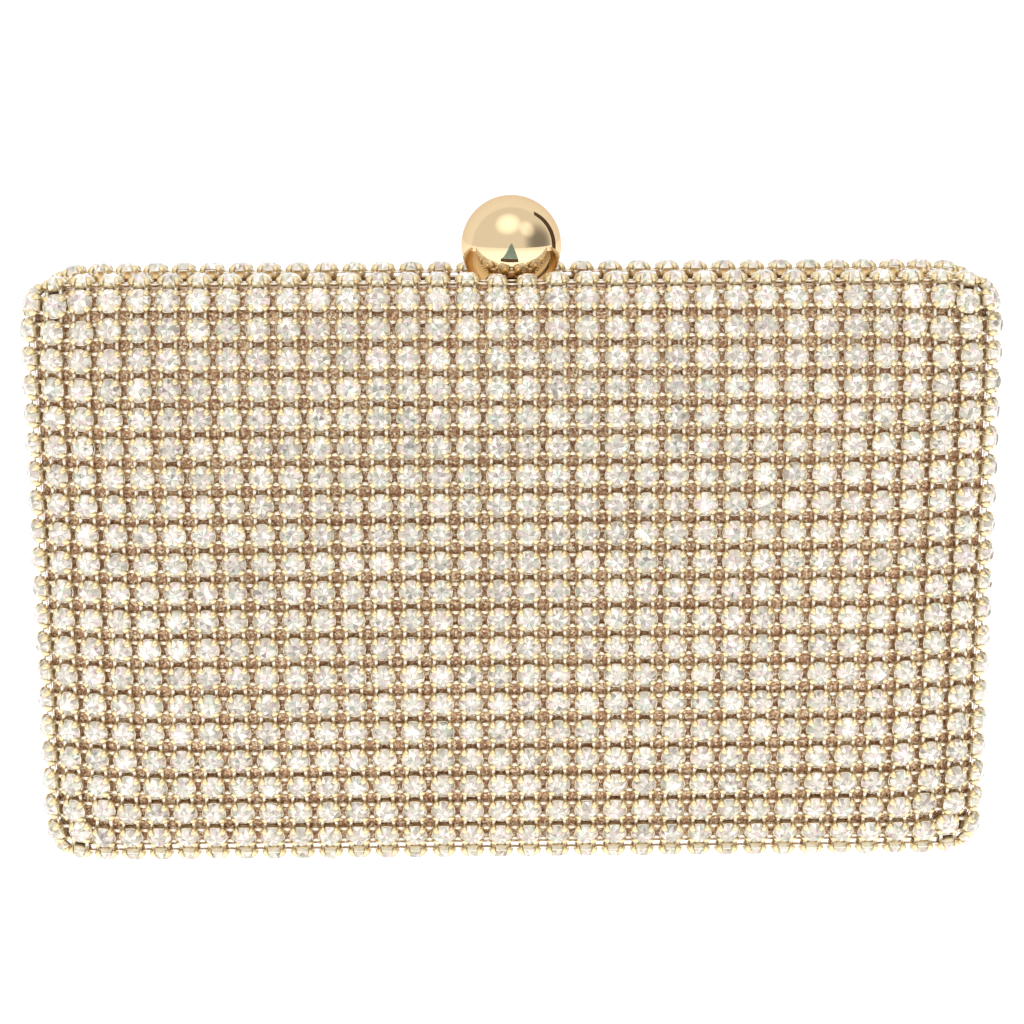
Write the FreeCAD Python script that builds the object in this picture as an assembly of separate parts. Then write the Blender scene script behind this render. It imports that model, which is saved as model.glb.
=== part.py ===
import FreeCAD, Part
import math
import os

# Evening bag: a hard box clutch of two shallow domed halves, hinged along the bottom and
# held shut at the top by a sprung ball clasp. All sizes are in millimetres.
#
# X runs along the bag's width, -Y is the front and +Z is up. The halves meet at the plane
# y = 0, and the bag stands on the crystals of its bottom edge at z = 0. "Depth" below is the
# distance from the meeting plane, so it grows towards the front on the front half (side -1)
# and towards the back on the rear half (side +1).

FRONT = -1
REAR = 1

# Driving sizes of the covered case, measured on the fabric under the crystals
CASE_HALF_WIDTH = 78.2
CASE_HALF_HEIGHT = 47.9
CASE_CORNER = 4.55            # corner radius of the outline, seen from the front
CRYSTAL_HEIGHT = 2.5          # a set stone stands this far above the fabric
MID_Z = CASE_HALF_HEIGHT + CRYSTAL_HEIGHT

# Domed face: a superellipse from the end of the flat wall to the flat middle of the face
WALL_DEPTH = 9.2              # the side walls are straight up to this depth
DOME_RISE = 4.7
DOME_RUN = 19.0               # the face curves over this much of its border
DOME_POWER = 1.4
DOME_STEPS = 9
DOME_LAST_ANGLE = math.radians(86)
LEAST_CORNER = 0.4            # the corner radius shrinks towards the middle, to this share of it

# Thickness of the layers, from the outside in
COVER = 0.4
SHELL = 1.2
MESH_START = 8.0              # depth at which the crystals begin
COVER_START = 7.4             # depth at which the shell and its cover begin

# Metal frame of each half
BAND_DROP = 4.5               # the band lies this far inside the covered case
BAND = 1.2
BAND_DEPTH = 9.9
BAND_CORNER = 4.0
FLANGE_START = 6.4
SEAM = 0.3                    # gap between the two bands when the bag is shut
BAND_HALF_WIDTH = CASE_HALF_WIDTH - BAND_DROP
BAND_HALF_HEIGHT = CASE_HALF_HEIGHT - BAND_DROP
BAND_TOP = MID_Z + BAND_HALF_HEIGHT
BAND_BOTTOM = MID_Z - BAND_HALF_HEIGHT

# Lip on the rear frame that reaches inside the front one
LIP = 0.8
LIP_REACH = 1.5
LIP_ROOT = 3.0
LIP_GAP = 0.3
LIP_NOTCH = 10.0              # half width of the break in the lip at the latch

# Satin-covered trays
LINING = 0.9
LINING_GAP = 0.1
LINING_DEPTH = 11.2
LINING_ROUND = 4.5
ROUND_STEPS = 5
NOTCH_CLEAR = 1.0             # room left round the latch parts in the trays
KEEPER_NOTCH = 4.0            # height of the front tray's notch, below the band's top
REAR_LINING_START = 3.2
FRONT_LINING_START = 1.9

# Ball clasp
BALL_RADIUS = 8.4
BALL_Z = 104.2
BALL_ROOM = 0.4               # space left round the ball in the case, over its whole travel
TRAVEL = 1.4
STEM_RADIUS = 2.0
SPIGOT_RADIUS = 1.5
RUNNING_GAP = 0.05
STEM_TOP = 100.0
STEM_SHOULDER = 89.0
STEM_BOTTOM = 81.0
TAB_HALF_WIDTH = 8.0
TAB_REACH = 4.2
TAB_GAP = 0.4
TAB_ROOT = 1.0                # the tab starts this far back in the rear band
BUSH_RADIUS = 3.2
BUSH_PROUD = 0.2

# Latch under the clasp
HOUSING_HALF_WIDTH = 5.5
HOUSING_FRONT = -3.6
HOUSING_BACK = 4.5
EAR_FRONT = 0.3
HOUSING_WALL = 0.9
HOUSING_BOTTOM = 82.6
WINDOW_ROOM = 0.5             # room under the pressed hook in the housing's window
WINDOW_TOP = 1.6              # metal left above the window
PLATE = 1.0
EAR_HALF_WIDTH = 9.0
HOOK_HALF_WIDTH = 3.5
HOOK_FRONT = -6.9
HOOK_BACK = 2.6
HOOK_LIP = 0.8
HOOK_LIP_HEIGHT = 1.1
KEEPER_GAP = 0.35             # the keeper's bar stops this far above the hook
KEEPER_BACK = -4.8
KEEPER_FRONT = -9.9
KEEPER_HALF_WIDTH = 6.0
CLIP_RADIUS = 2.6
CLIP = 0.6
CLIP_GAP = 0.1
CLIP_MOUTH = 1.2              # half width of the clip's open mouth
SPRING_RADIUS = 2.1
SPRING_WIRE = 0.25
SPRING_TURNS = 5
SPRING_GAP = 0.02

# Hinges
HINGE_X = 45.0
HINGE_HALF_LENGTH = 12.0
KNUCKLE_RADIUS = 1.8
KNUCKLE_GAP = 0.3
LEAF = 0.8
LEAF_START = 2.1
LEAF_END = 5.3
LEAF_NECK = 0.6               # the strip from leaf to knuckle starts this far from the pin
PIN_RADIUS = 0.8
HINGE_Z = BAND_BOTTOM - KNUCKLE_RADIUS - KNUCKLE_GAP
MIDDLE_KNUCKLE = 4.7          # half length of the front leaf's knuckle
HINGE_RIVET_STEP = 8.0

# Rivets
RIVET_RADIUS = 0.7
RIVET_HEAD_RADIUS = 1.2
RIVET_HEAD = 0.5
LATCH_SPOTS = [(-7.3, 2.0), (7.3, 2.0)]
KEEPER_SPOTS = [(-4.6, -8.7), (4.6, -8.7)]


def box(x0, x1, y0, y1, z0, z1):
    """A block between two corners, given in any order."""
    lo = FreeCAD.Vector(min(x0, x1), min(y0, y1), min(z0, z1))
    return Part.makeBox(abs(x1 - x0), abs(y1 - y0), abs(z1 - z0), lo)


def upright(radius, z0, z1, x=0.0, y=0.0):
    """A cylinder standing along Z."""
    return Part.makeCylinder(radius, z1 - z0, FreeCAD.Vector(x, y, z0))


def lengthwise(radius, x0, x1):
    """A cylinder along the hinge axis."""
    return Part.makeCylinder(radius, x1 - x0, FreeCAD.Vector(x0, 0, HINGE_Z), FreeCAD.Vector(1, 0, 0))


def rounded_outline(half_width, half_height, corner, y):
    """A closed wire round the bag's middle, in the plane at the given y."""
    straight_x = half_width - corner
    straight_z = half_height - corner
    slant = corner * math.sqrt(0.5)
    edges = []
    for sx, sz in ((1, 1), (-1, 1), (-1, -1), (1, -1)):
        centre = FreeCAD.Vector(sx * straight_x, y, MID_Z + sz * straight_z)
        on_side = centre + FreeCAD.Vector(sx * corner, 0, 0)
        on_end = centre + FreeCAD.Vector(0, 0, sz * corner)
        middle = centre + FreeCAD.Vector(sx * slant, 0, sz * slant)
        first, last = (on_side, on_end) if sx == sz else (on_end, on_side)
        if edges:
            edges.append(Part.makeLine(edges[-1].lastVertex(True).Point, first))
        edges.append(Part.Arc(first, middle, last).toShape())
    edges.append(Part.makeLine(edges[-1].lastVertex(True).Point, edges[0].firstVertex(True).Point))
    return Part.Wire(edges)


def plate_block(half_width, half_height, corner, y0, y1):
    """A rounded block between two planes across the bag's thickness."""
    face = Part.Face(rounded_outline(half_width, half_height, corner, y0))
    return face.extrude(FreeCAD.Vector(0, y1 - y0, 0))


def ring(half_width, half_height, corner, wall, y0, y1):
    """A rounded band that follows the outline, with its wall measured inwards."""
    outer = plate_block(half_width, half_height, corner, y0, y1)
    inner = plate_block(half_width - wall, half_height - wall, corner - wall, y0, y1)
    return outer.cut(inner)


def dome_profile(offset):
    """(inset, depth, corner radius) along the domed border, moved out by offset."""
    stations = []
    for step in range(DOME_STEPS + 1):
        angle = DOME_LAST_ANGLE * step / DOME_STEPS
        cosine = math.cos(angle)
        reach = cosine ** (2 / DOME_POWER)
        inset = DOME_RUN * (1 - reach)
        depth = WALL_DEPTH + DOME_RISE * math.sin(angle)
        run = DOME_RUN * (2 / DOME_POWER) * cosine ** (2 / DOME_POWER - 1) * math.sin(angle)
        rise = DOME_RISE * cosine
        length = math.hypot(run, rise)
        stations.append((inset - offset * rise / length, depth + offset * run / length,
                         CASE_CORNER * max(reach, LEAST_CORNER) + offset))
    return stations


def dome(side, offset, start):
    """The solid domed block of one half, moved out by offset, from depth start to its face."""
    wires = [rounded_outline(CASE_HALF_WIDTH + offset, CASE_HALF_HEIGHT + offset,
                             CASE_CORNER + offset, side * start)]
    for inset, depth, corner in dome_profile(offset):
        wires.append(rounded_outline(CASE_HALF_WIDTH - inset, CASE_HALF_HEIGHT - inset,
                                     corner, side * depth))
    return Part.makeLoft(wires, True, True)


def ball_room():
    """The space that the ball sweeps in its travel, with room round it."""
    radius = BALL_RADIUS + BALL_ROOM
    high = Part.makeSphere(radius, FreeCAD.Vector(0, 0, BALL_Z))
    low = Part.makeSphere(radius, FreeCAD.Vector(0, 0, BALL_Z - TRAVEL))
    return high.fuse(low).fuse(upright(radius, BALL_Z - TRAVEL, BALL_Z))


def dome_layer(side, outside, inside, start):
    """One layer of the case, between two offsets of the domed surface, dished at the ball."""
    return dome(side, outside, start).cut(dome(side, inside, start)).cut(ball_room())


def rivet(x, y, z0, z1, heads):
    """A rivet along Z through z0 to z1, with heads of "both" ends, or of the "low" one."""
    body = upright(RIVET_RADIUS, z0, z1, x, y)
    body = body.fuse(upright(RIVET_HEAD_RADIUS, z0 - RIVET_HEAD, z0, x, y))
    if heads == "both":
        body = body.fuse(upright(RIVET_HEAD_RADIUS, z1, z1 + RIVET_HEAD, x, y))
    return body


def plain_frame(side):
    """The bent band of one frame with the flange that its shell stands on."""
    band = ring(BAND_HALF_WIDTH, BAND_HALF_HEIGHT, BAND_CORNER, BAND,
                side * SEAM / 2, side * BAND_DEPTH)
    flange = plate_block(CASE_HALF_WIDTH, CASE_HALF_HEIGHT, CASE_CORNER,
                         side * FLANGE_START, side * COVER_START)
    flange = flange.cut(plate_block(BAND_HALF_WIDTH, BAND_HALF_HEIGHT, BAND_CORNER,
                                    side * FLANGE_START, side * COVER_START))
    return band.fuse(flange.cut(ball_room()))


def rivet_holes(spots, z0, z1):
    """Holes for rivets at the given (x, y) spots."""
    return [upright(RIVET_RADIUS, z0, z1, x, y) for x, y in spots]


def hinge_spots(side):
    """Where the rivets of both hinge leaves of one half go."""
    y = side * (LEAF_START + LEAF_END) / 2
    return [(end * HINGE_X + step * HINGE_RIVET_STEP, y) for end in (-1, 1) for step in (-1, 1)]


def make_rear_frame():
    """The rear frame: band, flange, closing lip, and the tab that carries the clasp."""
    lip_outer_width = BAND_HALF_WIDTH - BAND
    lip_outer_height = BAND_HALF_HEIGHT - BAND
    corner = BAND_CORNER - BAND
    root = ring(lip_outer_width, lip_outer_height, corner, LIP_GAP + LIP, SEAM / 2, LIP_ROOT)
    reach = ring(lip_outer_width - LIP_GAP, lip_outer_height - LIP_GAP, corner - LIP_GAP, LIP,
                 -LIP_REACH, LIP_ROOT)
    lip = root.fuse(reach)
    lip = lip.cut(box(-LIP_NOTCH, LIP_NOTCH, -LIP_REACH, LIP_ROOT, MID_Z, BAND_TOP))
    tab = box(-TAB_HALF_WIDTH, TAB_HALF_WIDTH, -TAB_REACH, TAB_ROOT, BAND_TOP - BAND, BAND_TOP)
    frame = plain_frame(REAR).fuse(lip).fuse(tab)
    frame = frame.cut(upright(BUSH_RADIUS, BAND_TOP - BAND, BAND_TOP))
    for hole in rivet_holes(LATCH_SPOTS, BAND_TOP - BAND, BAND_TOP):
        frame = frame.cut(hole)
    for hole in rivet_holes(hinge_spots(REAR), BAND_BOTTOM, BAND_BOTTOM + BAND + LIP_GAP + LIP):
        frame = frame.cut(hole)
    return frame.removeSplitter()


def make_front_frame():
    """The front frame, notched at the top for the rear frame's tab."""
    half = TAB_HALF_WIDTH + TAB_GAP
    frame = plain_frame(FRONT)
    frame = frame.cut(box(-half, half, -FLANGE_START, 0, BAND_TOP - BAND, BAND_TOP))
    for hole in rivet_holes(KEEPER_SPOTS, BAND_TOP - BAND, BAND_TOP):
        frame = frame.cut(hole)
    for hole in rivet_holes(hinge_spots(FRONT), BAND_BOTTOM, BAND_BOTTOM + BAND):
        frame = frame.cut(hole)
    return frame.removeSplitter()


def rounded_tray(side, half_width, half_height, corner, start, depth, round_over):
    """A solid block with its outer edge rounded over, for a lining and its hollow."""
    wires = [rounded_outline(half_width, half_height, corner, side * start)]
    for step in range(ROUND_STEPS + 1):
        angle = math.radians(90) * step / ROUND_STEPS
        inset = round_over * (1 - math.cos(angle))
        here = depth - round_over + round_over * math.sin(angle)
        wires.append(rounded_outline(half_width - inset, half_height - inset, corner, side * here))
    return Part.makeLoft(wires, True, True)


def make_lining(side, start):
    """A satin tray that fits inside the frame's band."""
    half_width = BAND_HALF_WIDTH - BAND - LINING_GAP
    half_height = BAND_HALF_HEIGHT - BAND - LINING_GAP
    corner = BAND_CORNER - BAND
    outer = rounded_tray(side, half_width, half_height, corner, start, LINING_DEPTH, LINING_ROUND)
    inner = rounded_tray(side, half_width - LINING, half_height - LINING, corner, start,
                         LINING_DEPTH - LINING, LINING_ROUND)
    return outer.cut(inner)


def make_rear_lining():
    """The rear tray, cut away round the latch housing."""
    lining = make_lining(REAR, REAR_LINING_START)
    return lining.cut(box(-EAR_HALF_WIDTH - NOTCH_CLEAR, EAR_HALF_WIDTH + NOTCH_CLEAR,
                          0, HOUSING_BACK + NOTCH_CLEAR, HOUSING_BOTTOM, BAND_TOP))


def make_front_lining():
    """The front tray, cut away round the keeper."""
    lining = make_lining(FRONT, FRONT_LINING_START)
    return lining.cut(box(-EAR_HALF_WIDTH - NOTCH_CLEAR, EAR_HALF_WIDTH + NOTCH_CLEAR,
                          0, KEEPER_FRONT - NOTCH_CLEAR, BAND_TOP - KEEPER_NOTCH, BAND_TOP))


def make_ball():
    """The gold ball, bored from below for its stem."""
    ball = Part.makeSphere(BALL_RADIUS, FreeCAD.Vector(0, 0, BALL_Z))
    return ball.cut(upright(STEM_RADIUS, BALL_Z - 2 * BALL_RADIUS, STEM_TOP))


def make_stem():
    """The stem, with a shoulder that the hook is pushed up against."""
    upper = upright(STEM_RADIUS, STEM_SHOULDER, STEM_TOP)
    lower = upright(SPIGOT_RADIUS, STEM_BOTTOM, STEM_SHOULDER)
    return upper.fuse(lower)


def make_bush():
    """The bush that guides the stem through the frame's tab."""
    outer = upright(BUSH_RADIUS, BAND_TOP - BAND, BAND_TOP + BUSH_PROUD)
    return outer.cut(upright(STEM_RADIUS + RUNNING_GAP, BAND_TOP - BAND, BAND_TOP + BUSH_PROUD))


def make_housing():
    """The latch housing: a box under two ears, open in front for the hook."""
    top = BAND_TOP - BAND
    ears = box(-EAR_HALF_WIDTH, EAR_HALF_WIDTH, EAR_FRONT, HOUSING_BACK, top - PLATE, top)
    outside = box(-HOUSING_HALF_WIDTH, HOUSING_HALF_WIDTH, HOUSING_FRONT, HOUSING_BACK,
                  HOUSING_BOTTOM, top)
    room = HOUSING_HALF_WIDTH - HOUSING_WALL
    inside = box(-room, room, HOUSING_FRONT + HOUSING_WALL, HOUSING_BACK - HOUSING_WALL,
                 HOUSING_BOTTOM + PLATE, top - PLATE)
    window_low = STEM_SHOULDER - PLATE - TRAVEL - WINDOW_ROOM
    window = box(-room, room, HOUSING_FRONT, HOUSING_FRONT + HOUSING_WALL, window_low, top - WINDOW_TOP)
    housing = ears.fuse(outside).cut(inside).cut(window)
    housing = housing.cut(upright(STEM_RADIUS + RUNNING_GAP, top - PLATE, top))
    housing = housing.cut(upright(SPIGOT_RADIUS + RUNNING_GAP, HOUSING_BOTTOM,
                                  HOUSING_BOTTOM + PLATE))
    for hole in rivet_holes(LATCH_SPOTS, top - PLATE, top):
        housing = housing.cut(hole)
    return housing


def make_hook():
    """The hook plate on the stem, with a lip that stands in front of the keeper's bar."""
    plate = box(-HOOK_HALF_WIDTH, HOOK_HALF_WIDTH, HOOK_FRONT, HOOK_BACK,
                STEM_SHOULDER - PLATE, STEM_SHOULDER)
    lip = box(-HOOK_HALF_WIDTH, HOOK_HALF_WIDTH, HOOK_FRONT, HOOK_FRONT + HOOK_LIP,
              STEM_SHOULDER, STEM_SHOULDER + HOOK_LIP_HEIGHT)
    hole = upright(SPIGOT_RADIUS, STEM_SHOULDER - PLATE, STEM_SHOULDER)
    return plate.fuse(lip).cut(hole)


def make_keeper():
    """The keeper under the front frame, with the bar that the hook holds."""
    top = BAND_TOP - BAND
    plate = box(-KEEPER_HALF_WIDTH, KEEPER_HALF_WIDTH, KEEPER_FRONT, KEEPER_BACK, top - PLATE, top)
    bar_low = STEM_SHOULDER + HOOK_LIP_HEIGHT + KEEPER_GAP
    bar = box(-HOOK_HALF_WIDTH, HOOK_HALF_WIDTH, KEEPER_BACK - HOOK_LIP, KEEPER_BACK,
              bar_low, top - PLATE)
    keeper = plate.fuse(bar)
    for hole in rivet_holes(KEEPER_SPOTS, top - PLATE, top):
        keeper = keeper.cut(hole)
    return keeper


def make_clip():
    """The snap ring that stops the stem's upward travel under the housing's top."""
    high = BAND_TOP - BAND - PLATE - CLIP_GAP
    clip = upright(CLIP_RADIUS, high - CLIP, high)
    clip = clip.cut(upright(STEM_RADIUS, high - CLIP, high))
    mouth = box(-CLIP_MOUTH, CLIP_MOUTH, 0, CLIP_RADIUS, high - CLIP, high)
    return clip.cut(mouth)


def make_spring():
    """The coil that lifts the hook, between the housing's floor and the hook plate."""
    low = HOUSING_BOTTOM + PLATE + SPRING_WIRE + SPRING_GAP
    high = STEM_SHOULDER - PLATE - SPRING_WIRE - SPRING_GAP
    helix = Part.makeHelix((high - low) / SPRING_TURNS, high - low, SPRING_RADIUS)
    helix.translate(FreeCAD.Vector(0, 0, low))
    start = FreeCAD.Vector(SPRING_RADIUS, 0, low)
    circle = Part.Wire([Part.makeCircle(SPRING_WIRE, start, FreeCAD.Vector(0, 1, 0))])
    return Part.Wire(helix.Edges).makePipeShell([circle], True, True)


def make_leaf(side, end):
    """One hinge leaf: a plate under its frame's band, rolled round the pin."""
    centre = end * HINGE_X
    x0 = centre - HINGE_HALF_LENGTH
    x1 = centre + HINGE_HALF_LENGTH
    if side == FRONT:
        spans = [(centre - MIDDLE_KNUCKLE, centre + MIDDLE_KNUCKLE)]
        bore = PIN_RADIUS + RUNNING_GAP
    else:
        spans = [(x0, centre - MIDDLE_KNUCKLE - KNUCKLE_GAP), (centre + MIDDLE_KNUCKLE + KNUCKLE_GAP, x1)]
        bore = PIN_RADIUS
    leaf = box(x0, x1, side * LEAF_START, side * LEAF_END, BAND_BOTTOM - LEAF, BAND_BOTTOM)
    for a, b in spans:
        leaf = leaf.fuse(lengthwise(KNUCKLE_RADIUS, a, b))
        leaf = leaf.fuse(box(a, b, side * LEAF_NECK, side * LEAF_START,
                             BAND_BOTTOM - LEAF - KNUCKLE_GAP, BAND_BOTTOM))
    leaf = leaf.cut(lengthwise(bore, x0 - 1, x1 + 1))
    for hole in rivet_holes(hinge_spots(side), BAND_BOTTOM - LEAF, BAND_BOTTOM):
        leaf = leaf.cut(hole)
    return leaf


def rivet_group(spots, z0, z1, heads):
    """Rivets of one kind, as separate solids of one node."""
    return Part.makeCompound([rivet(x, y, z0, z1, heads) for x, y in spots])


def build():
    """Every piece of the bag, by node name."""
    hinge_low = BAND_BOTTOM - LEAF
    hinge_high = BAND_BOTTOM + BAND
    latch_low = BAND_TOP - BAND - PLATE
    pieces = {
        "rear_frame": make_rear_frame(),
        "front_frame": make_front_frame(),
        "rear_lining": make_rear_lining(),
        "front_lining": make_front_lining(),
        "clasp_ball": make_ball(),
        "clasp_stem": make_stem(),
        "stem_bush": make_bush(),
        "latch_housing": make_housing(),
        "latch_hook": make_hook(),
        "retaining_clip": make_clip(),
        "clasp_spring": make_spring(),
        "keeper": make_keeper(),
        "latch_rivets": rivet_group(LATCH_SPOTS, latch_low, BAND_TOP, "both"),
        "keeper_rivets": rivet_group(KEEPER_SPOTS, latch_low, BAND_TOP, "both"),
        "hinge_rivets_rear": rivet_group(hinge_spots(REAR), hinge_low, hinge_high, "low"),
        "hinge_rivets_front": rivet_group(hinge_spots(FRONT), hinge_low, hinge_high, "low"),
    }
    for name, side in (("front", FRONT), ("rear", REAR)):
        pieces[name + "_crystal_mesh"] = dome_layer(side, CRYSTAL_HEIGHT, 0, MESH_START)
        pieces[name + "_cover"] = dome_layer(side, 0, -COVER, COVER_START)
        pieces[name + "_shell"] = dome_layer(side, -COVER, -COVER - SHELL, COVER_START)
        for hand, end in (("left", -1), ("right", 1)):
            pieces["hinge_leaf_" + name + "_" + hand] = make_leaf(side, end)
    for hand, end in (("left", -1), ("right", 1)):
        pieces["hinge_pin_" + hand] = lengthwise(PIN_RADIUS, end * HINGE_X - HINGE_HALF_LENGTH,
                                                 end * HINGE_X + HINGE_HALF_LENGTH)
    return pieces


def main():
    """Writes one STEP file for each piece."""
    os.makedirs("parts", exist_ok=True)
    for name, shape in build().items():
        shape.exportStep("parts/" + name + ".step")
        print(name, shape.isValid(), len(shape.Solids), round(shape.Volume, 1))


main()
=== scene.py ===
import math
import bmesh
import bpy
import numpy as np
from mathutils import Matrix, Quaternion, Vector


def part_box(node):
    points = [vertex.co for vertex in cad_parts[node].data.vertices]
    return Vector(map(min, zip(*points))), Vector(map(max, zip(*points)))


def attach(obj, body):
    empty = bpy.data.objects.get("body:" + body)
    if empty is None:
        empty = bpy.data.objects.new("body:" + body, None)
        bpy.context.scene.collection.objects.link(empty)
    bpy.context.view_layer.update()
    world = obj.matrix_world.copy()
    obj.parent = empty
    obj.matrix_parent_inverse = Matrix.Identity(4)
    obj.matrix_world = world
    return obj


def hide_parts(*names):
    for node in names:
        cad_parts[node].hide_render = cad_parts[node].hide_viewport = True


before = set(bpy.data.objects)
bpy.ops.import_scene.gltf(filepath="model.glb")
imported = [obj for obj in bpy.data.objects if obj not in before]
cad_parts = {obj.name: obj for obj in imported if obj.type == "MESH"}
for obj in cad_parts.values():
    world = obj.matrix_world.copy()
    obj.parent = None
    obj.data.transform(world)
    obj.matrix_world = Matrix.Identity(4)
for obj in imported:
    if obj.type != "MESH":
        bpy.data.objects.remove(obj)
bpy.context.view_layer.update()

# Looks of the crystal evening bag. Everything is in metres, in the CAD frame: X along the
# bag's width, -Y the front, +Z up. "Depth" is the distance from the plane y = 0 where the
# two halves meet, so a half's depth runs along side * Y.

MM = 0.001
RNG = np.random.default_rng(11)
SIDES = {"front": -1, "rear": 1}

# The studio: (name, place, size, power) of each soft light, and the tent's brightness
SOFTBOXES = [("key", (-0.10, -0.50, 0.86), (0.42, 0.32), 2.4),
             ("side", (0.50, -0.42, 0.63), (0.2, 0.4), 1.0),
             ("top", (0.0, 0.2, 0.9), (0.7, 0.5), 2.2)]
FRONT_LIGHT = 0.90
BACK_LIGHT = 1.06
# The tent goes from the front's brightness to the back's between these values of a direction's Y
TENT_EDGE = (0.14, 0.27)
# Soft glows (and one shade) in the tent, which the ball mirrors. Each is (direction, cosine of
# the angle from it where the glow begins, strength at its middle).
GLOWS = [((-0.12, -0.55, 0.83), 0.86, 0.75),
         ((0.55, -0.55, 0.63), 0.93, 0.5),
         ((0.92, -0.38, 0.12), 0.72, -0.62)]
# Cards that only reflections see, for the dark things round the real camera, and one dark sheet that
# stands for a shadow on the floor
CARDS = [
    ("dark_edge_card", "dark",
     [(0.27, 0.072, 0.0), (0.24, 0.144, 0.0), (0.24, 0.144, 0.45), (0.27, 0.072, 0.45)]),
    # A dark sheet lying where there is only a shadow: a painted shadow, seen in the ball
    ("floor_shadow_card", "dark",
     [(-0.10, -0.225, 0.001), (0.06, -0.225, 0.001), (0.05, -0.16, 0.001), (-0.085, -0.16, 0.001)]),
    ("stand_foot_card", "slate",
     [(-0.10, -0.42, 0.002), (0.08, -0.42, 0.002), (0.06, -0.225, 0.002), (-0.09, -0.225, 0.002)]),
    ("stand_card", "slate",
     [(-0.10, -0.42, 0.0), (0.08, -0.42, 0.0), (0.01, -0.42, 0.176), (-0.01, -0.42, 0.176)]),
]
FLOOR_SIZE = 6.0
FLOOR_GLOW = 0.30
# The floor lies below the bag's foot, because the front half swings down past it as it opens
FLOOR_LEVEL = -20.5 * MM

# The camera, fitted to the photograph's grid of stones
CAMERA_PLACE = (-0.0041, -0.3758, 0.1395)
CAMERA_HEADING = math.radians(0.61)
CAMERA_PITCH = math.radians(12.14)
CAMERA_ROLL = math.radians(-0.28)
CAMERA_LENS = 78.9
CAMERA_SENSOR = 36.0
CAMERA_NEAR = 0.01

# The covered case, read from the frame
COVER_LOW, COVER_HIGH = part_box("rear_cover")
HALF_WIDTH = (COVER_HIGH.x - COVER_LOW.x) / 2
HALF_HEIGHT = (COVER_HIGH.z - COVER_LOW.z) / 2
MID_Z = (COVER_HIGH.z + COVER_LOW.z) / 2
COVER_START = COVER_LOW.y
COVER_THICKNESS = 0.4 * MM
COVER_STEP = 4 * MM

# The dome's border, as in the CAD model: a superellipse between the wall and the flat face
DOME_RUN = 19.0 * MM
DOME_RISE = 4.7 * MM
WALL_DEPTH = 9.2 * MM
DOME_POWER = 1.4
CORNER_POWER = 9.0

# How finely the trays are divided
BORDER_STEPS = 400
LEAST_COSINE = 1e-6
CURVE_STEPS = 15
WALL_STEPS = 5
MERGE_DISTANCE = 0.02 * MM

# The net of crystals
PITCH = 4.86 * MM
ROW_SHIFT = 0.49 * MM
COLUMNS = 32
ROWS = 20
GIRDLE = 1.35 * MM

# A stone's rings of corners, as (share of its radius, share of its crown's height)
STONE_RADIUS = 2.0 * MM
CROWN = 1.05 * MM
TABLE_EDGE = (0.50, 1.0)
STAR_TIP = (0.76, 0.66)
GIRDLE_EDGE = (1.0, 0.0)
SKIRT_EDGE = (0.96, -0.25)
TABLE_DIP = 0.93
RAYS = 8
RAY_SHARE = 0.16

# A cup's rings from the cloth up, as (share of its radius, height in mm)
CUP_RADIUS = 2.09 * MM
CUP_RINGS = [(0.80, 0.0), (0.97, 0.55), (1.0, 1.2), (0.99, 1.38), (0.93, 1.38)]
CUP_SIDES = 14

# A prong's sections, as (reach, height, half width, half thickness) in mm, and lean in degrees
PRONG_SECTIONS = [(2.04, 0.70, 0.56, 0.12, 0), (2.20, 1.10, 0.64, 0.14, 10), (2.10, 1.54, 0.64, 0.17, 45),
                  (1.68, 1.88, 0.54, 0.17, 75), (1.22, 2.04, 0.22, 0.08, 90)]
PRONG_TAPER = 0.7

# The pair of bars between two cups, and their section in shares of half width and half thickness
LINK_OFFSET = 1.17 * MM
LINK_HEIGHT = 0.8 * MM
BAR_START = 1.45 * MM
BAR_HALF_WIDTH = 0.31 * MM
BAR_HALF_THICKNESS = 0.20 * MM
BAR_SECTION = [(-1, -0.5), (0, -1), (1, -0.5), (1, 0.5), (0, 1), (-1, 0.5)]
STUB_END = 2.6 * MM

# How unevenly the stones and prongs are set
STONE_TILT = math.radians(2.2)
PRONG_SWING = math.radians(3)

# The painted reflections on the facets, as tones 0 to 1: their range, how much whole stones differ, and
# the rays' two tones
FACET_REFLECTION_TONES = (0.15, 1.0)
STONE_REFLECTION_SPREAD = 0.08
LEAST_REFLECTION_TONE = 0.1
DARK_REFLECTED_RAY_SHARE = 0.6
DARK_REFLECTED_RAY = 0.0
PALE_REFLECTED_RAY = 0.6

# How much of the tone seen is the facet's painted reflection, and how much is the finer painted glints'
FACET_REFLECTION_SHARE = 0.8
PAINTED_GLINT_SHARE = 0.2

# On each half, the two stones nearest the ball are smaller and sit further from it, and they
# have no cut bars towards the frame, so that the pressed ball clears them
BALL_NUDGE = 0.7 * MM
BALL_SHRINK = 0.86

# The stone that fills each corner of the wall's ring
CORNER_SHRINK = 0.8
CORNER_LIFT = 0.5 * MM

# Edges of the CAD nodes that turn more than this are sharp
CREASE_ANGLE = math.radians(28)

# The satin trays, and their notches for the latch parts
LINING_THICKNESS = 0.9 * MM
LINING_ROUND = 4.5 * MM
SATIN_SHARE = 0.8
SATIN_STEP = 2.2 * MM
GATHER = 0.12 * MM
GATHER_WAVES = (1900, 1700)
GATHER_SHIFT = 1.0
GATHER_EDGE = 8
NOTCH_HALF_WIDTH = 10.0 * MM
NOTCH_DEPTH = {"front": 10.9 * MM, "rear": 5.5 * MM}
LATCH_NOTCH = {"front": 89.8 * MM, "rear": 82.6 * MM}

# The ball's divisions, and the tint of polished gold where it is seen edge on
BALL_SEGMENTS = 128
BALL_RINGS = 64
GOLD_EDGE_TINT = (0.86, 0.74, 0.64, 1.0)


# ---------------------------------------------------------------- shape helpers

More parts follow.
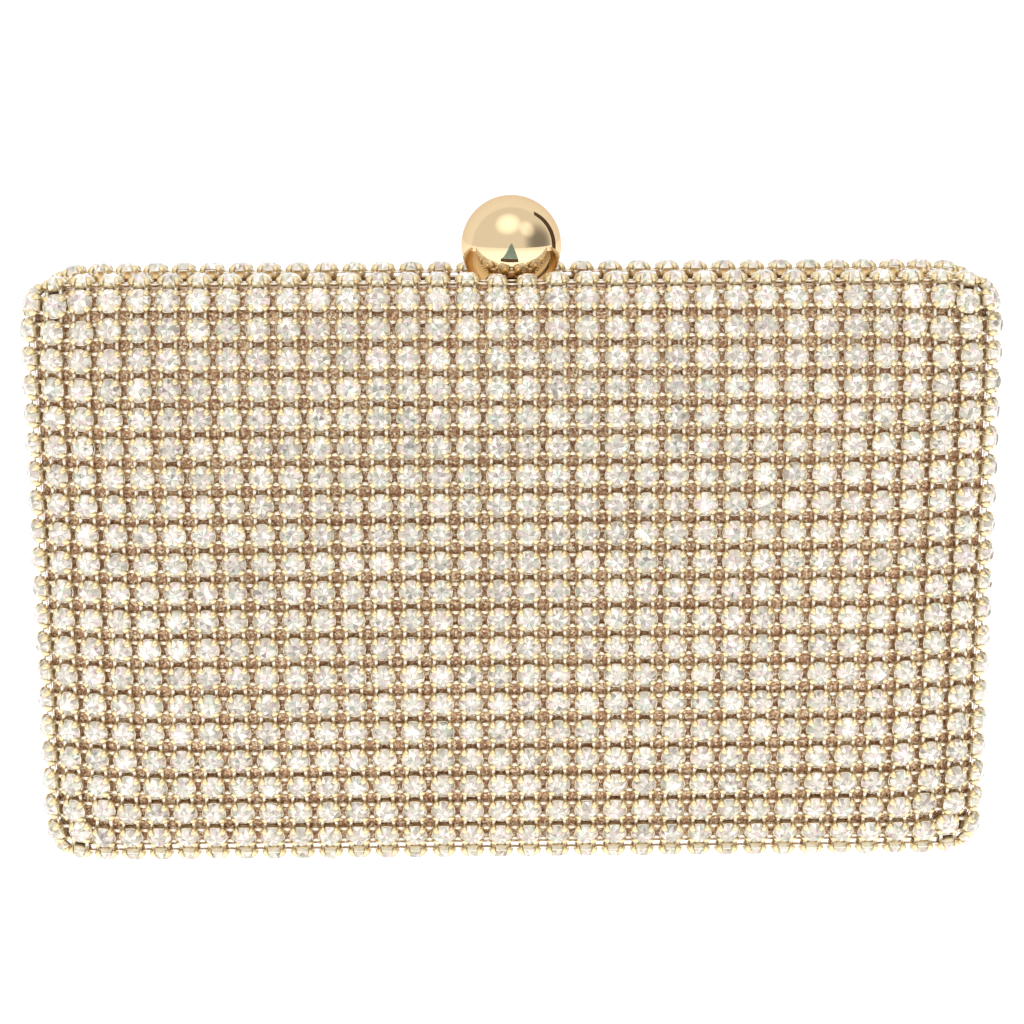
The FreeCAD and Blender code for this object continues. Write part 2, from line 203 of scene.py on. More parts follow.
def border_curve(run, rise, power, offset):
    """Arc length, reach and angle along the border, from the flat face (reach 0) to the wall (1)."""
    angle = np.linspace(math.pi / 2, 0, BORDER_STEPS)
    cosine = np.maximum(np.cos(angle), LEAST_COSINE)
    reach = cosine ** (2 / power)
    along = run * reach
    depth = rise * np.sin(angle)
    d_run = run * (2 / power) * cosine ** (2 / power - 1) * np.sin(angle)
    d_rise = rise * cosine
    length = np.hypot(d_run, d_rise)
    along = along + offset * d_rise / length
    depth = depth + offset * d_run / length
    arc = np.concatenate([[0], np.cumsum(np.hypot(np.diff(along), np.diff(depth)))])
    return arc, reach


class Tray:
    """A rounded, domed tray: the outside of the case, or the satin inside it."""

    def __init__(self, side, half_width, half_height, wall_depth, run, rise, power):
        self.side = side
        self.power = power
        self.half = (half_width, half_height)
        self.wall_depth = wall_depth
        self.run = run
        self.rise = rise

    def station(self, axis, distance, offset):
        """(sign, flat part, reach, drop) at a distance along the surface from the middle."""
        flat = self.half[axis] - self.run
        size = abs(distance)
        sign = 1.0 if distance >= 0 else -1.0
        if size <= flat:
            return sign, size, 0.0, 0.0
        arc, reach = border_curve(self.run, self.rise, self.power, offset)
        past = size - flat
        if past <= arc[-1]:
            return sign, flat, float(np.interp(past, arc, reach)), 0.0
        return sign, flat, 1.0, past - arc[-1]

    def point(self, across, up):
        """The surface point and outward normal for a station along X and one along Z."""
        sx, fx, a, drop_x = across
        sz, fz, b, drop_z = up
        q = (a ** CORNER_POWER + b ** CORNER_POWER) ** (1 / CORNER_POWER)
        if q > 0:
            shrink = max(a, b) / q
            a, b, q = a * shrink, b * shrink, max(a, b)
        level = math.sqrt(max(0.0, 1 - q ** self.power))
        depth = self.wall_depth + self.rise * level - max(drop_x, drop_z)
        x = sx * (fx + self.run * a)
        z = sz * (fz + self.run * b)
        if q > 0:
            slope = self.rise * self.power / 2 * q ** (self.power - 1) / self.run
            lean_x = sx * slope * (a / q) ** (CORNER_POWER - 1)
            lean_z = sz * slope * (b / q) ** (CORNER_POWER - 1)
        else:
            lean_x = lean_z = 0.0
        normal = Vector((lean_x, self.side * level, lean_z)).normalized()
        return Vector((x, self.side * depth, MID_Z + z)), normal

    def stations(self, axis, start_depth, flat_step, extra=()):
        """Grid stations along one axis, from one open edge over the face to the other."""
        flat = self.half[axis] - self.run
        count = max(2, round(2 * flat / flat_step))
        inner = sorted(set(np.linspace(-flat, flat, count + 1)) | set(extra))
        curved = np.cos(np.linspace(math.pi / 2, 0, CURVE_STEPS))[1:] ** (2 / self.power)
        wall = np.linspace(0, self.wall_depth - start_depth, WALL_STEPS)[1:]
        right = [(1.0, flat, float(a), 0.0) for a in curved]
        right += [(1.0, flat, 1.0, float(d)) for d in wall]
        left = [(-1.0, f, a, d) for _, f, a, d in reversed(right)]
        middle = [(1.0 if v >= 0 else -1.0, abs(float(v)), 0.0, 0.0) for v in inner]
        return left + middle + right

    def surface(self, start_depth, flat_step, keep=None, extra_x=(), shape=None):
        """A bmesh of the open tray. keep(point) drops faces, and shape(point, normal) moves points."""
        bm = bmesh.new()
        across = self.stations(0, start_depth, flat_step, extra_x)
        up = self.stations(1, start_depth, flat_step)
        grid = {}
        for i, u in enumerate(across):
            for j, v in enumerate(up):
                if u[3] > 0 and v[3] > 0:
                    continue
                at, normal = self.point(u, v)
                if shape:
                    at = shape(at, normal)
                grid[i, j] = bm.verts.new(at)
        for i in range(len(across) - 1):
            for j in range(len(up) - 1):
                corners = [(i, j), (i + 1, j), (i + 1, j + 1), (i, j + 1)]
                if any(c not in grid for c in corners):
                    continue
                verts = [grid[c] for c in corners]
                if self.side > 0:
                    verts.reverse()
                middle = sum((v.co for v in verts), Vector()) / 4
                if keep is None or keep(middle):
                    bm.faces.new(verts)
        bmesh.ops.remove_doubles(bm, verts=bm.verts, dist=MERGE_DISTANCE)
        loose = [v for v in bm.verts if not v.link_faces]
        bmesh.ops.delete(bm, geom=loose, context="VERTS")
        return bm


def add_object(name, mesh, materials, smooth=True):
    """Links a mesh to the scene with its materials."""
    obj = bpy.data.objects.new(name, mesh)
    bpy.context.scene.collection.objects.link(obj)
    for material in materials:
        mesh.materials.append(material)
    mesh.polygons.foreach_set("use_smooth", [smooth] * len(mesh.polygons))
    return obj


def object_from_bmesh(name, bm, materials):
    """Turns a bmesh into a smooth object."""
    mesh = bpy.data.meshes.new(name)
    bm.to_mesh(mesh)
    bm.free()
    return add_object(name, mesh, materials)


def give_thickness(obj, thickness, offset):
    """Makes an open surface a closed sheet."""
    solid = obj.modifiers.new("thickness", "SOLIDIFY")
    solid.thickness = thickness
    solid.offset = offset
    solid.use_even_offset = False


class Pile:
    """Many copies of small templates, gathered into one mesh."""

    def __init__(self):
        self.verts = []
        self.faces = []
        self.slots = []
        self.values = []
        self.count = 0

    def add(self, points, faces, slot=0, values=None):
        self.verts.append(points)
        self.faces.extend(tuple(k + self.count for k in face) for face in faces)
        self.slots.extend([slot] * len(faces))
        self.values.extend(values if values is not None else [0.5] * len(faces))
        self.count += len(points)

    def build(self, name, materials, smooth):
        mesh = bpy.data.meshes.new(name)
        mesh.from_pydata(np.concatenate(self.verts).tolist(), [], self.faces)
        mesh.polygons.foreach_set("material_index", self.slots)
        # On the stones this attribute holds each face's painted reflection tone
        layer = mesh.attributes.new("painted_reflection", "FLOAT", "FACE")
        layer.data.foreach_set("value", self.values)
        mesh.update()
        return add_object(name, mesh, materials, smooth)


# ---------------------------------------------------------------- the net of crystals

def stone_template():
    """A round brilliant: table wedges round a centre point, stars, kites and a short girdle.

    The last 8 faces are the thin rays of the back facets that show through the table; they carry a
    painted reflection of those facets.
    """
    eighth = math.pi / 4
    table = [(*TABLE_EDGE, (k + 0.5) * eighth) for k in range(8)]
    stars = [(*STAR_TIP, k * eighth) for k in range(8)]
    girdle = [(*GIRDLE_EDGE, k * eighth / 2) for k in range(16)]
    skirt = [(*SKIRT_EDGE, k * eighth / 2) for k in range(16)]
    ray_tips = [(*TABLE_EDGE, (k + 0.5 + RAY_SHARE) * eighth) for k in range(RAYS)]
    rings = table + stars + girdle + skirt + [(0.0, TABLE_DIP, 0.0)] + ray_tips
    points = [(STONE_RADIUS * r * math.cos(t), STONE_RADIUS * r * math.sin(t), GIRDLE + CROWN * h)
              for r, h, t in rings]
    first_star = len(table)
    first_girdle = first_star + len(stars)
    first_skirt = first_girdle + len(girdle)
    centre = first_skirt + len(skirt)
    first_ray = centre + 1
    faces = []
    for k in range(8):
        before = (k - 1) % 8
        after = (k + 1) % 8
        star = first_star + k
        low = first_girdle + 2 * k
        low_before = first_girdle + (2 * k - 1) % 16
        low_after = first_girdle + (2 * k + 1) % 16
        faces.append((first_ray + k, after, centre))
        faces.append((before, star, k))
        faces.append((k, star, low_after))
        faces.append((k, low_after, first_star + after))
        faces.append((star, low, low_after))
        faces.append((star, low_before, low))
    for k in range(16):
        after = (k + 1) % 16
        faces.append((first_girdle + k, first_skirt + k, first_skirt + after, first_girdle + after))
    for k in range(RAYS):
        faces.append((k, first_ray + k, centre))
    return np.array(points), faces


def cup_template():
    """The round cup under a stone, with its rolled rim."""
    points = []
    faces = []
    for r, h in CUP_RINGS:
        for k in range(CUP_SIDES):
            t = 2 * math.pi * k / CUP_SIDES
            points.append((CUP_RADIUS * r * math.cos(t), CUP_RADIUS * r * math.sin(t), h * MM))
    for level in range(len(CUP_RINGS) - 1):
        for k in range(CUP_SIDES):
            after = (k + 1) % CUP_SIDES
            low = level * CUP_SIDES
            high = low + CUP_SIDES
            faces.append((low + k, low + after, high + after, high + k))
    return np.array(points), faces


def prong_template():
    """One prong, from the cup's side up and over the edge of the stone, along +X."""
    points = []
    faces = []
    for reach, height, half, thick, lean in PRONG_SECTIONS:
        back = math.radians(lean)
        out = Vector((math.cos(back), 0, math.sin(back)))
        narrow = half * PRONG_TAPER
        for y, t in ((-half, -thick), (half, -thick), (narrow, thick), (-narrow, thick)):
            points.append(((reach + out.x * t) * MM, y * MM, (height + out.z * t) * MM))
    for s in range(len(PRONG_SECTIONS) - 1):
        for k in range(4):
            after = (k + 1) % 4
            faces.append((4 * s + k, 4 * s + after, 4 * s + 4 + after, 4 * s + 4 + k))
    faces.append((3, 2, 1, 0))
    top = 4 * (len(PRONG_SECTIONS) - 1)
    faces.append((top, top + 1, top + 2, top + 3))
    return np.array(points), faces


class Seat:
    """Where one stone sits: its foot on the cloth and its own axes."""

    def __init__(self, foot, normal, guide, scale=1.0):
        self.foot = foot
        self.scale = scale
        self.normal = normal
        self.right = (guide - normal * guide.dot(normal)).normalized()
        self.up = normal.cross(self.right)

    def matrix(self, spin=0.0, tilt=(0.0, 0.0)):
        base = Matrix((self.right, self.up, self.normal)).transposed()
        turn = Matrix.Rotation(spin, 3, "Z")
        nod = Matrix.Rotation(tilt[0], 3, "X") @ Matrix.Rotation(tilt[1], 3, "Y")
        return np.array(base @ nod @ turn)

    def carry(self, points, spin=0.0, tilt=(0.0, 0.0)):
        return self.scale * points @ self.matrix(spin, tilt).T + np.array(self.foot)


def seats_of(tray):
    """Every seat of one half, by (column, row). Column and row -1 or beyond are the walls' rings."""
    seats = {}
    for i in range(-1, COLUMNS + 1):
        across = tray.station(0, (i - (COLUMNS - 1) / 2) * PITCH, GIRDLE)
        for j in range(-1, ROWS + 1):
            on_x_wall = i in (-1, COLUMNS)
            on_z_wall = j in (-1, ROWS)
            corner = on_x_wall and on_z_wall
            by_ball = j == -1 and abs(i - (COLUMNS - 1) / 2) < 1
            inward = BALL_NUDGE if by_ball else 0.0
            up = tray.station(1, ((ROWS - 1) / 2 - j) * PITCH + ROW_SHIFT - inward, GIRDLE)
            foot, normal = tray.point(across, up)
            guide = Vector((0, 0, 1)) if on_x_wall else Vector((1, 0, 0))
            scale = BALL_SHRINK if by_ball else 1.0
            if corner:
                foot = foot + normal * CORNER_LIFT
                guide = Vector((0, 1, 0))
                scale = CORNER_SHRINK
            seats[i, j] = Seat(foot, normal, guide, scale)
    return seats


def add_bars(pile, ends):
    """A pair of short bars between two ends, each (middle, sideways, outwards)."""
    for hand in (-1, 1):
        points = []
        for middle, side, normal in ends:
            at = middle + side * hand * LINK_OFFSET + normal * LINK_HEIGHT
            for s, t in BAR_SECTION:
                points.append(at + side * s * BAR_HALF_WIDTH + normal * t * BAR_HALF_THICKNESS)
        faces = [(k, (k + 1) % 6, 6 + (k + 1) % 6, 6 + k) for k in range(6)]
        faces += [(5, 4, 3, 2, 1, 0), (6, 7, 8, 9, 10, 11)]
        pile.add(np.array(points), faces)


def add_link(pile, a, b):
    """The two bars that join a pair of neighbouring cups."""
    path = b.foot - a.foot
    along_a = (path - a.normal * path.dot(a.normal)).normalized()
    along_b = (path - b.normal * path.dot(b.normal)).normalized()
    start = (a.foot + along_a * BAR_START, a.normal.cross(along_a), a.normal)
    end = (b.foot - along_b * BAR_START, b.normal.cross(along_b), b.normal)
    add_bars(pile, (start, end))


def add_stub(pile, seat, side):
    """The cut bars at the open edge of the net, towards the frame."""
    along = Vector((0, -side, 0))
    along = (along - seat.normal * along.dot(seat.normal)).normalized()
    sideways = seat.normal.cross(along)
    start = (seat.foot + along * BAR_START, sideways, seat.normal)
    end = (seat.foot + along * STUB_END, sideways, seat.normal)
    add_bars(pile, (start, end))


def make_net(half, materials):
    """The stones, their cups with prongs, and the links of one half."""
    tray = Tray(SIDES[half], HALF_WIDTH, HALF_HEIGHT, WALL_DEPTH, DOME_RUN, DOME_RISE, DOME_POWER)
    seats = seats_of(tray)
    stone_points, stone_faces = stone_template()
    cup_points, cup_faces = cup_template()
    prong_points, prong_faces = prong_template()
    stones, settings, links = Pile(), Pile(), Pile()
    for (i, j), seat in seats.items():
        spin = RNG.uniform(0, math.pi / 4)
        tilt = RNG.normal(0, STONE_TILT, 2)
        # Each facet gets a random grey that stands for painted reflections in the clear stone, shifted a
        # little for the whole stone
        reflection_tones = RNG.uniform(*FACET_REFLECTION_TONES, len(stone_faces)) + RNG.normal(0, STONE_REFLECTION_SPREAD)
        reflection_tones = np.clip(reflection_tones, LEAST_REFLECTION_TONE, 1)
        # The rays' dark or pale tones are painted reflections of the back facets
        reflection_tones[-RAYS:] = np.where(RNG.random(RAYS) < DARK_REFLECTED_RAY_SHARE, DARK_REFLECTED_RAY, PALE_REFLECTED_RAY)
        stones.add(seat.carry(stone_points, spin, tilt), stone_faces, 0, reflection_tones.tolist())
        settings.add(seat.carry(cup_points), cup_faces, 0)
        for corner in range(4):
            turn = math.radians(45 + 90 * corner) + RNG.normal(0, PRONG_SWING)
            settings.add(seat.carry(prong_points, turn), prong_faces, 1)
        for neighbour in ((i + 1, j), (i, j + 1)):
            if neighbour in seats:
                add_link(links, seat, seats[neighbour])
        on_edge = i in (-1, COLUMNS) or j in (-1, ROWS)
        if on_edge and seat.scale != BALL_SHRINK:
            add_stub(links, seat, SIDES[half])
    made = [
        stones.build(half + "_stones", [materials["crystal"]], False),
        settings.build(half + "_settings", [materials["cup"], materials["prong"]], True),
        links.build(half + "_links", [materials["link"]], True),
    ]
    for piece in made:
        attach(piece, half + "_half")
        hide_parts(half + "_crystal_mesh")
    return tray


# ---------------------------------------------------------------- materials

class Nodes:
    """A short way to write a node tree."""

    def __init__(self, name):
        self.material = bpy.data.materials.new(name)
        self.material.use_nodes = True
        self.tree = self.material.node_tree
        self.shader = self.tree.nodes["Principled BSDF"]

    def add(self, kind, **settings):
        node = self.tree.nodes.new(kind)
        for key, value in settings.items():
            if hasattr(node, key):
                setattr(node, key, value)
            else:
                node.inputs[key.replace("_", " ")].default_value = value
        return node

    def link(self, out, into):
        self.tree.links.new(out, into)

    def position(self):
        return self.add("ShaderNodeTexCoord").outputs["Object"]

    def noise(self, scale, detail=3.0, vector=None):
        node = self.add("ShaderNodeTexNoise", Scale=scale, Detail=detail)
        self.link(vector if vector is not None else self.position(), node.inputs["Vector"])
        return node.outputs["Fac"]

    def cells(self, scale):
        node = self.add("ShaderNodeTexVoronoi", Scale=scale)
        self.link(self.position(), node.inputs["Vector"])
        return node

    def ramp(self, value, stops):
        node = self.add("ShaderNodeValToRGB")
        elements = node.color_ramp.elements
        for place, _ in stops[2:]:
            elements.new(place)
        for element, (place, colour) in zip(elements, stops):
            element.position = place
            element.color = (*colour, 1.0)
        self.link(value, node.inputs["Fac"])
        return node.outputs["Color"]

    def range(self, value, low, high):
        node = self.add("ShaderNodeMapRange")
        node.inputs["To Min"].default_value = low
        node.inputs["To Max"].default_value = high
        self.link(value, node.inputs["Value"])
        return node.outputs["Result"]

    def bump(self, height, distance, strength=1.0):
        node = self.add("ShaderNodeBump", Strength=strength, Distance=distance)
        self.link(height, node.inputs["Height"])
        self.link(node.outputs["Normal"], self.shader.inputs["Normal"])

    def set(self, **values):
        for key, value in values.items():
            self.shader.inputs[key.replace("_", " ")].default_value = value


def crystal_material():
    """Foil-backed glass with painted reflections in its colour: bright facets of many tones, dark rays,
    fine glints, and a little painted pink and green fire.
    """
    n = Nodes("crystal")
    painted_reflection = n.add("ShaderNodeAttribute", attribute_name="painted_reflection")
    # Fine cells: their red is a painted glint, their green picks the painted fire, their blue is a bump
    painted_glints = n.cells(1500.0)
    split = n.add("ShaderNodeSeparateColor")
    n.link(painted_glints.outputs["Color"], split.inputs["Color"])
    tone = n.add("ShaderNodeMath", operation="MULTIPLY_ADD")
    tone.inputs[1].default_value = PAINTED_GLINT_SHARE
    n.link(split.outputs["Red"], tone.inputs[0])
    facet = n.add("ShaderNodeMath", operation="MULTIPLY")
    facet.inputs[1].default_value = FACET_REFLECTION_SHARE
    n.link(painted_reflection.outputs["Fac"], facet.inputs[0])
    n.link(facet.outputs["Value"], tone.inputs[2])
    # Greys of the painted reflections and glints
    reflection_tones = n.ramp(tone.outputs["Value"], [(0.06, (0.21, 0.20, 0.18)), (0.22, (0.42, 0.39, 0.34)),
                                           (0.40, (0.55, 0.51, 0.44)), (0.62, (0.66, 0.61, 0.54)),
                                           (0.88, (0.92, 0.88, 0.82))])
    painted_fire = n.ramp(split.outputs["Green"], [(0.08, (1.0, 0.86, 0.95)), (0.3, (1.0, 0.98, 0.96)),
                                           (0.75, (1.0, 0.99, 0.96)), (0.95, (0.88, 1.0, 0.95))])
    # A colour mix has its factor at input 0, its colours at inputs 6 and 7, and its result at output 2
    tint = n.add("ShaderNodeMix", data_type="RGBA", blend_type="MULTIPLY")
    tint.inputs[0].default_value = 1.0
    n.link(reflection_tones, tint.inputs[6])
    n.link(painted_fire, tint.inputs[7])
    n.link(tint.outputs[2], n.shader.inputs["Base Color"])
    n.bump(split.outputs["Blue"], 0.00005, 0.25)
    n.set(Metallic=0.25, Roughness=0.08, Coat_Weight=0.6, Coat_Roughness=0.03)
    return n.material


def plated_material(name, light, dark, roughness):
    """Plated metal with a faint unevenness and slightly duller patches."""
    n = Nodes(name)
    drift = n.noise(900.0)
    n.link(n.ramp(drift, [(0.3, dark), (0.7, light)]), n.shader.inputs["Base Color"])
    n.link(n.range(n.noise(2500.0), roughness * 0.6, roughness * 1.5), n.shader.inputs["Roughness"])
    n.bump(n.noise(1800.0), 0.00003, 0.5)
    n.set(Metallic=1.0)
    return n.material


def polished_material(name, colour, roughness):
    """Mirror-polished plate: its colour drifts slowly, and faint wipe marks show in its gloss."""
    n = Nodes(name)
    soft = n.noise(60.0, 2.0)
    darker = tuple(c * 0.96 for c in colour)
    n.link(n.ramp(soft, [(0.35, darker), (0.65, colour)]), n.shader.inputs["Base Color"])
    n.link(n.range(n.noise(300.0, 4.0), roughness * 0.5, roughness * 1.5), n.shader.inputs["Roughness"])
    n.set(Metallic=1.0)
    n.shader.inputs["Specular Tint"].default_value = GOLD_EDGE_TINT
    return n.material


def glitter_material():
    """Bronze glitter cloth: fine flakes at many angles over a brown ground; the flakes' random
    brightness, up to near white, is painted glint.
    """
    n = Nodes("glitter_cloth")
    flakes = n.cells(3200.0)
    grey = n.add("ShaderNodeSeparateColor")
    n.link(flakes.outputs["Color"], grey.inputs["Color"])
    # Brown ground, and flakes whose random brightness is painted glint
    painted_flake_glints = n.ramp(grey.outputs["Red"], [(0.0, (0.27, 0.11, 0.06)), (0.45, (0.54, 0.30, 0.16)),
                                          (0.75, (0.82, 0.57, 0.33)), (0.93, (1.0, 0.90, 0.66))])
    n.link(painted_flake_glints, n.shader.inputs["Base Color"])
    n.link(n.range(grey.outputs["Green"], 0.15, 0.6), n.shader.inputs["Roughness"])
    n.bump(grey.outputs["Blue"], 0.0001, 0.7)
    n.set(Metallic=0.3)
    return n.material


def satin_material():
    """Champagne satin: a fine warp that shines along the cloth."""
    n = Nodes("satin")
    weave = n.add("ShaderNodeTexWave", Scale=1100.0, Distortion=0.6, Detail=1.0)
    weave.wave_type = "BANDS"
    weave.bands_direction = "X"
    n.link(n.position(), weave.inputs["Vector"])
    tone = n.noise(45.0)
    n.link(n.ramp(tone, [(0.3, (0.62, 0.48, 0.30)), (0.7, (0.69, 0.55, 0.36))]),
           n.shader.inputs["Base Color"])
    n.bump(weave.outputs["Fac"], 0.00004, 0.5)
    n.set(Roughness=0.38, Sheen_Weight=0.5, Sheen_Roughness=0.3)
    return n.material


def shell_material():
    """The moulded case under the cloth."""
    n = Nodes("shell_board")
    n.link(n.ramp(n.noise(120.0), [(0.3, (0.05, 0.035, 0.025)), (0.7, (0.09, 0.065, 0.045))]),
           n.shader.inputs["Base Color"])
    n.bump(n.noise(2200.0), 0.00005, 0.6)
    n.set(Roughness=0.6)
    return n.material


def steel_material():
    """Bright drawn steel."""
    n = Nodes("bright_steel")
    n.link(n.ramp(n.noise(700.0), [(0.3, (0.55, 0.54, 0.52)), (0.7, (0.70, 0.69, 0.67))]),
           n.shader.inputs["Base Color"])
    n.link(n.range(n.noise(1600.0), 0.18, 0.35), n.shader.inputs["Roughness"])
    n.set(Metallic=1.0)
    return n.material


def paper_material():
    """The pale studio floor."""
    n = Nodes("studio_floor")
    n.link(n.ramp(n.noise(3.0), [(0.3, (0.94, 0.94, 0.94)), (0.7, (0.95, 0.95, 0.95))]),
           n.shader.inputs["Base Color"])
    n.set(Roughness=0.9, Emission_Strength=FLOOR_GLOW)
    n.shader.inputs["Emission Color"].default_value = (1, 1, 1, 1)
    return n.material


def card_material(name, colour):
    """Matt card with a faint mottle."""
    n = Nodes(name)
    lighter = tuple(c * 1.2 for c in colour)
    n.link(n.ramp(n.noise(20.0), [(0.3, colour), (0.7, lighter)]), n.shader.inputs["Base Color"])
    n.set(Roughness=0.8)
    return n.material


# ---------------------------------------------------------------- the other pieces

def make_cover(half, tray, material):
    """The glitter cloth stretched over one shell."""
    cover = object_from_bmesh(half + "_glitter_cloth", tray.surface(COVER_START, COVER_STEP), [material])
    give_thickness(cover, COVER_THICKNESS, -1.0)
    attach(cover, half + "_half")
    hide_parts(half + "_cover")


def make_lining(half, material):
    """The satin tray of one half, with soft gathers round its rounded edge."""
    side = SIDES[half]
    low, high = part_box(half + "_lining")
    inset = LINING_THICKNESS / 2
    half_width = (high.x - low.x) / 2 - inset
    half_height = (high.z - low.z) / 2 - inset
    deepest = max(abs(low.y), abs(high.y)) - inset
    start = min(abs(low.y), abs(high.y))
    tray = Tray(side, half_width, half_height, deepest - LINING_ROUND, LINING_ROUND, LINING_ROUND, 2.0)
    notch_low = LATCH_NOTCH[half]

    def outside_notch(point):
        return abs(point.x) > NOTCH_HALF_WIDTH or point.z < notch_low or abs(point.y) > NOTCH_DEPTH[half]

    def gathered(point, normal):
        across = min(1.0, abs(point.x) / half_width) ** GATHER_EDGE
        up = min(1.0, abs(point.z - MID_Z) / half_height) ** GATHER_EDGE
        wave = math.sin(point.x * GATHER_WAVES[0]) * math.sin(point.z * GATHER_WAVES[1] + GATHER_SHIFT)
        return point + normal * wave * min(1.0, across + up) * GATHER

    bm = tray.surface(start, SATIN_STEP, keep=outside_notch, shape=gathered,
                      extra_x=(-NOTCH_HALF_WIDTH, NOTCH_HALF_WIDTH))
    satin = object_from_bmesh(half + "_satin_lining", bm, [material])
    give_thickness(satin, LINING_THICKNESS * SATIN_SHARE, 0.0)
    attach(satin, half + "_half")
    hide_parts(half + "_lining")


def make_ball(material):
    """The clasp's ball, finer than the CAD mesh so that its reflections are smooth."""
    low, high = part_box("clasp_ball")
    radius = (high.x - low.x) / 2
    bm = bmesh.new()
    bmesh.ops.create_uvsphere(bm, u_segments=BALL_SEGMENTS, v_segments=BALL_RINGS, radius=radius)
    bmesh.ops.translate(bm, verts=bm.verts, vec=Vector((0, 0, high.z - radius)))
    ball = object_from_bmesh("clasp_ball_polished", bm, [material])
    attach(ball, "clasp")
    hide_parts("clasp_ball")


def finish_cad(materials):
    """Materials and sharp edges for the CAD nodes. The replaced ones get them too, unseen."""
    for name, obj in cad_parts.items():
        if name.endswith("_frame"):
            use = materials["frame"]
        elif name.endswith("_shell"):
            use = materials["shell"]
        elif name in ("keeper", "latch_housing", "latch_hook"):
            use = materials["latch"]
        elif name.startswith("hinge_leaf") or "rivets" in name or name == "stem_bush":
            use = materials["fitting"]
        else:
            use = materials["steel"]
        obj.data.materials.clear()
        obj.data.materials.append(use)
        obj.data.set_sharp_from_angle(angle=CREASE_ANGLE)


def add_card(name, corners, material):
    """A flat card in the studio, seen only in reflections."""
    bm = bmesh.new()
    bm.faces.new([bm.verts.new(corner) for corner in corners])
    bmesh.ops.subdivide_edges(bm, edges=bm.edges, cuts=3, use_grid_fill=True)
    card = object_from_bmesh(name, bm, [material])
    card.visible_camera = False
    card.visible_diffuse = False
    card.visible_shadow = False


def set_range(node, from_min, from_max, to_min, to_max):
    """Makes a map-range node a smooth step between two values."""
    node.interpolation_type = "SMOOTHSTEP"
    node.inputs["From Min"].default_value = from_min
    node.inputs["From Max"].default_value = from_max
    node.inputs["To Min"].default_value = to_min
    node.inputs["To Max"].default_value = to_max


def make_surroundings():
    """A white tent: brightest behind the bag, dimmer round the camera."""
    world = bpy.data.worlds.new("studio")
    bpy.context.scene.world = world
    world.use_nodes = True
    tree = world.node_tree
    background = tree.nodes["Background"]
    direction = tree.nodes.new("ShaderNodeTexCoord")
    split = tree.nodes.new("ShaderNodeSeparateXYZ")
    ramp = tree.nodes.new("ShaderNodeMapRange")
    set_range(ramp, *TENT_EDGE, FRONT_LIGHT, BACK_LIGHT)
    tree.links.new(direction.outputs["Generated"], split.inputs["Vector"])
    tree.links.new(split.outputs["Y"], ramp.inputs["Value"])
    total = ramp.outputs["Result"]
    for towards, start, strength in GLOWS:
        along = tree.nodes.new("ShaderNodeVectorMath")
        along.operation = "DOT_PRODUCT"
        along.inputs[1].default_value = Vector(towards).normalized()
        tree.links.new(direction.outputs["Generated"], along.inputs[0])
        glow = tree.nodes.new("ShaderNodeMapRange")
        set_range(glow, start, 1.0, 0.0, strength)
        tree.links.new(along.outputs["Value"], glow.inputs["Value"])
        sum_node = tree.nodes.new("ShaderNodeMath")
        tree.links.new(total, sum_node.inputs[0])
        tree.links.new(glow.outputs["Result"], sum_node.inputs[1])
        total = sum_node.outputs["Value"]
    tree.links.new(total, background.inputs["Strength"])
    background.inputs["Color"].default_value = (1, 1, 1, 1)


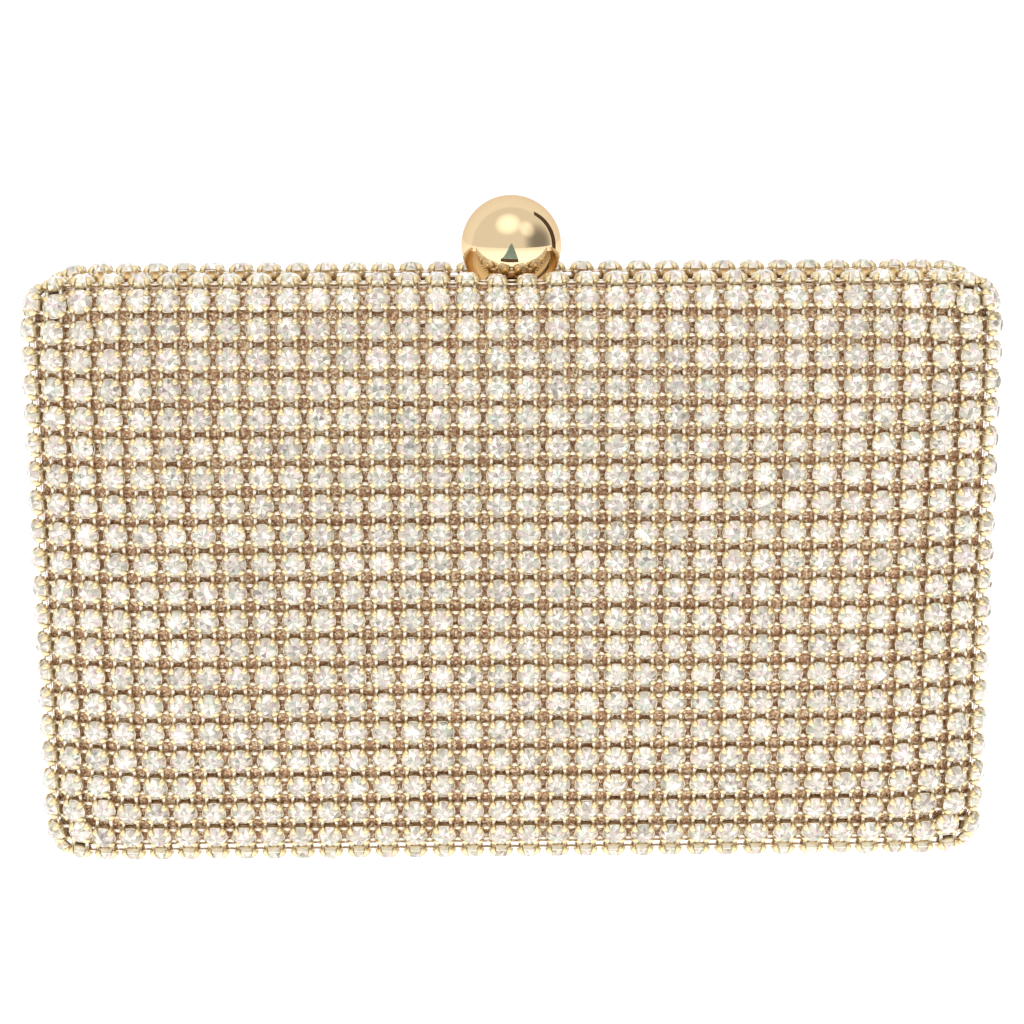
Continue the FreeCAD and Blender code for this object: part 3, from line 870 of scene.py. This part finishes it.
def make_studio(materials):
    """A pale floor, soft lights, and the dark things that the ball mirrors."""
    bm = bmesh.new()
    bmesh.ops.create_grid(bm, x_segments=8, y_segments=8, size=FLOOR_SIZE)
    bmesh.ops.translate(bm, verts=bm.verts, vec=Vector((0, 0, FLOOR_LEVEL)))
    floor = object_from_bmesh("studio_floor", bm, [materials["paper"]])
    make_surroundings()
    target = Vector((0, 0, MID_Z))
    for name, place, size, power in SOFTBOXES:
        data = bpy.data.lights.new(name, "AREA")
        data.shape = "RECTANGLE"
        data.size, data.size_y = size
        data.energy = power
        lamp = bpy.data.objects.new(name, data)
        lamp.location = place
        lamp.rotation_euler = (target - Vector(place)).to_track_quat("-Z", "Y").to_euler()
        lamp.visible_glossy = False
        bpy.context.scene.collection.objects.link(lamp)
    for name, kind, corners in CARDS:
        add_card(name, corners, materials[kind])


def make_camera():
    """The camera, a little above the bag and close to it."""
    data = bpy.data.cameras.new("camera")
    data.sensor_width = CAMERA_SENSOR
    data.lens = CAMERA_LENS
    data.clip_start = CAMERA_NEAR
    camera = bpy.data.objects.new("camera", data)
    camera.location = CAMERA_PLACE
    level = math.cos(CAMERA_PITCH)
    ahead = Vector((math.sin(CAMERA_HEADING) * level, math.cos(CAMERA_HEADING) * level,
                    -math.sin(CAMERA_PITCH)))
    camera.rotation_mode = "QUATERNION"
    roll = Quaternion((0, 0, 1), CAMERA_ROLL)
    camera.rotation_quaternion = ahead.to_track_quat("-Z", "Y") @ roll
    bpy.context.scene.collection.objects.link(camera)
    bpy.context.scene.camera = camera


def main():
    materials = {
        "crystal": crystal_material(),
        "cup": plated_material("pale_cup", (0.88, 0.80, 0.64), (0.78, 0.68, 0.50), 0.3),
        "prong": plated_material("gold_prong", (0.96, 0.82, 0.53), (0.91, 0.73, 0.42), 0.35),
        "link": plated_material("silver_link", (1.0, 0.93, 0.83), (0.92, 0.84, 0.74), 0.35),
        "frame": polished_material("polished_frame", (0.87, 0.69, 0.46), 0.16),
        "ball": polished_material("polished_ball", (0.86, 0.66, 0.40), 0.04),
        "fitting": plated_material("gold_fitting", (0.86, 0.69, 0.45), (0.80, 0.63, 0.40), 0.28),
        "latch": plated_material("latch_plate", (0.80, 0.65, 0.42), (0.75, 0.60, 0.38), 0.35),
        "steel": steel_material(),
        "shell": shell_material(),
        "cloth": glitter_material(),
        "satin": satin_material(),
        "paper": paper_material(),
        "dark": card_material("dark_card", (0.05, 0.03, 0.02)),
        "slate": card_material("slate_card", (0.15, 0.25, 0.29)),
    }
    finish_cad(materials)
    for half in SIDES:
        tray = make_net(half, materials)
        make_cover(half, tray, materials["cloth"])
        make_lining(half, materials["satin"])
    make_ball(materials["ball"])
    make_studio(materials)
    make_camera()
    bpy.context.scene.view_settings.view_transform = "Standard"


main()
